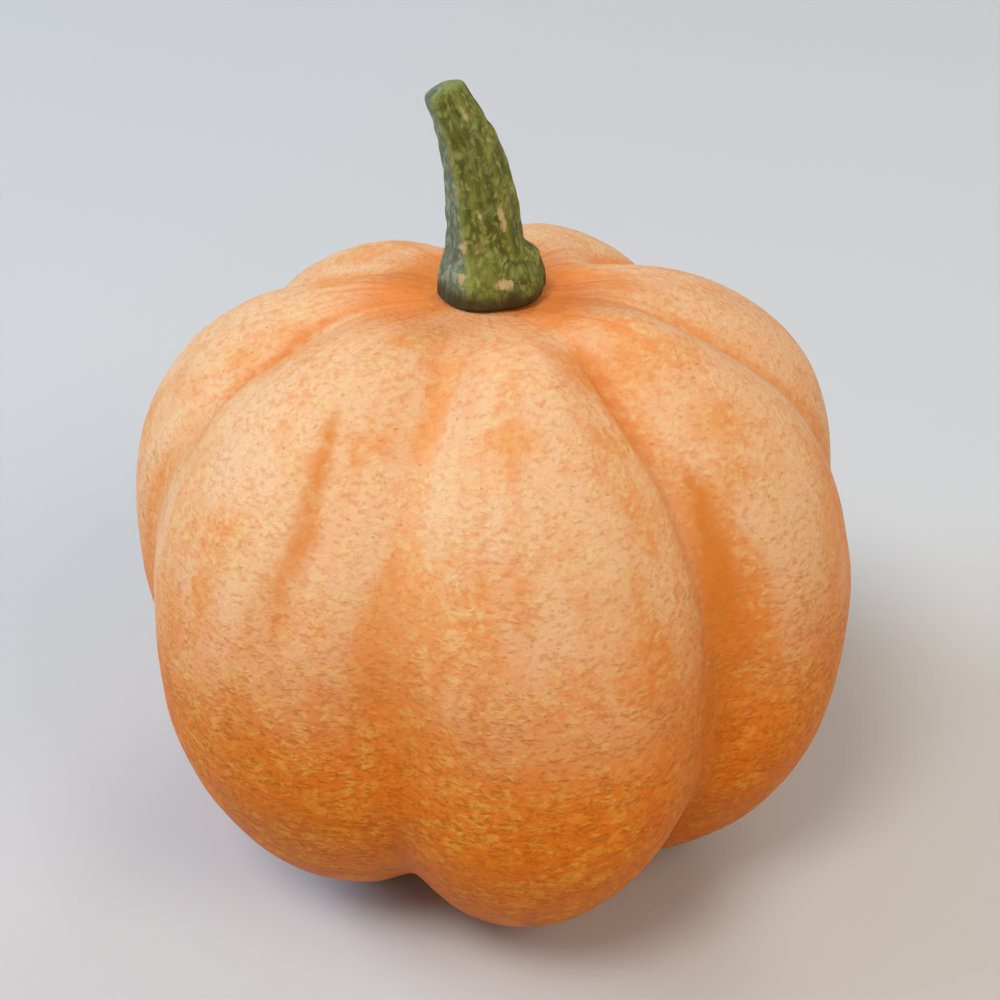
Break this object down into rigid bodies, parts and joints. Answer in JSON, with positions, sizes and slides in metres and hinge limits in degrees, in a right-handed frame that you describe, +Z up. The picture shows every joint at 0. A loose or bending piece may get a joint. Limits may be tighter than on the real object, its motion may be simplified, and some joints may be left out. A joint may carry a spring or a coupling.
{
  "type": "pumpkin",
  "caption": "Small ripe ribbed pumpkin: a rounded lobed fruit with deep furrows, a hollow under its base and a short curved green stem with a swollen foot.",
  "frame": {"origin": "on the surface the pumpkin stands on, under the middle of its bounding box", "axes": "+Z up along the stem, -Y towards the front of the picture, +X to the right of it"},
  "size_m": [0.1708, 0.1854, 0.1896],
  "materials": {
    "fruit_skin": "satin, mottled peach-orange skin with paler crests and deeper orange furrows",
    "stem": "matt green, dark streaks and tan scuffs"
  },
  "bodies": {
    "root": {"fruit": "fruit_skin", "stem": "stem"}
  },
  "joints": []
}
